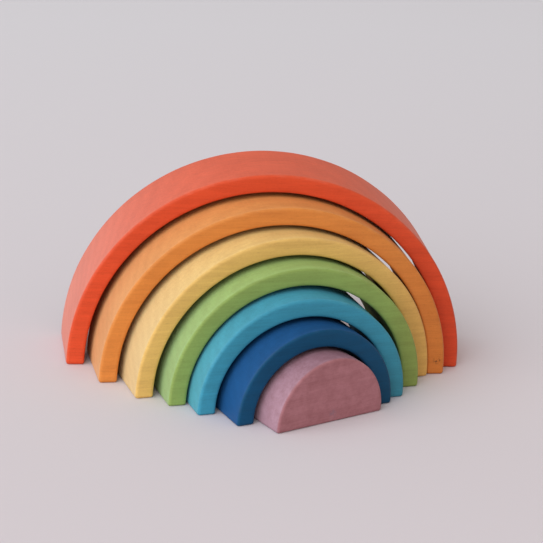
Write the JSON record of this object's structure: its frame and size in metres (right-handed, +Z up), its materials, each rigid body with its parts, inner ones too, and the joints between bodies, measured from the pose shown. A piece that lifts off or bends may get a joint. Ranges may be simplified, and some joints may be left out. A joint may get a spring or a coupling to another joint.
{
  "type": "rainbow stacker",
  "caption": "Nesting wooden rainbow stacker: concentric stained arches over a half-disc core, drawn out of each other like a fan for stacking and open play.",
  "frame": {"origin": "on the surface that the pieces stand on, under the middle of the opened fan's box; X is at the middle of the red arch", "axes": "+X to the right along the red arch's span, +Y to the back along the red arch's depth, +Z up; the fan comes out towards -Y"},
  "size_m": [0.175, 0.1058, 0.089],
  "materials": {
    "red_stain": "matte stain on fine-grained wood, red",
    "orange_stain": "matte stain on fine-grained wood, orange",
    "yellow_stain": "matte stain on fine-grained wood, yellow",
    "green_stain": "matte stain on fine-grained wood, green",
    "light_blue_stain": "matte stain on fine-grained wood, light blue",
    "dark_blue_stain": "matte stain on fine-grained wood, dark blue",
    "pink_stain": "matte stain on fine-grained wood, mauve pink"
  },
  "bodies": {
    "red_arch": {"red_arch": "red_stain"},
    "orange_arch": {"orange_arch": "orange_stain"},
    "yellow_arch": {"yellow_arch": "yellow_stain"},
    "green_arch": {"green_arch": "green_stain"},
    "light_blue_arch": {"light_blue_arch": "light_blue_stain"},
    "dark_blue_arch": {"dark_blue_arch": "dark_blue_stain"},
    "pink_half_disc": {"pink_half_disc": "pink_stain"}
  },
  "joints": [
    {"name": "orange_slide", "type": "slide", "parent": "red_arch", "child": "orange_arch", "axis": [0.0797, -0.9968, 0], "range_m": [-0.013, 0.032]},
    {"name": "yellow_slide", "type": "slide", "parent": "orange_arch", "child": "yellow_arch", "axis": [0.1931, -0.9812, 0], "range_m": [-0.0063, 0.036]},
    {"name": "green_slide", "type": "slide", "parent": "yellow_arch", "child": "green_arch", "axis": [0.1986, -0.9801, 0], "range_m": [-0.0095, 0.032]},
    {"name": "light_blue_slide", "type": "slide", "parent": "green_arch", "child": "light_blue_arch", "axis": [0.2219, -0.9751, 0], "range_m": [-0.0072, 0.031]},
    {"name": "dark_blue_slide", "type": "slide", "parent": "light_blue_arch", "child": "dark_blue_arch", "axis": [0.3349, -0.9423, 0], "range_m": [-0.0022, 0.033]},
    {"name": "pink_slide", "type": "slide", "parent": "dark_blue_arch", "child": "pink_half_disc", "axis": [0.4468, -0.8946, 0], "range_m": [-0.0012, 0.036]}
  ]
}
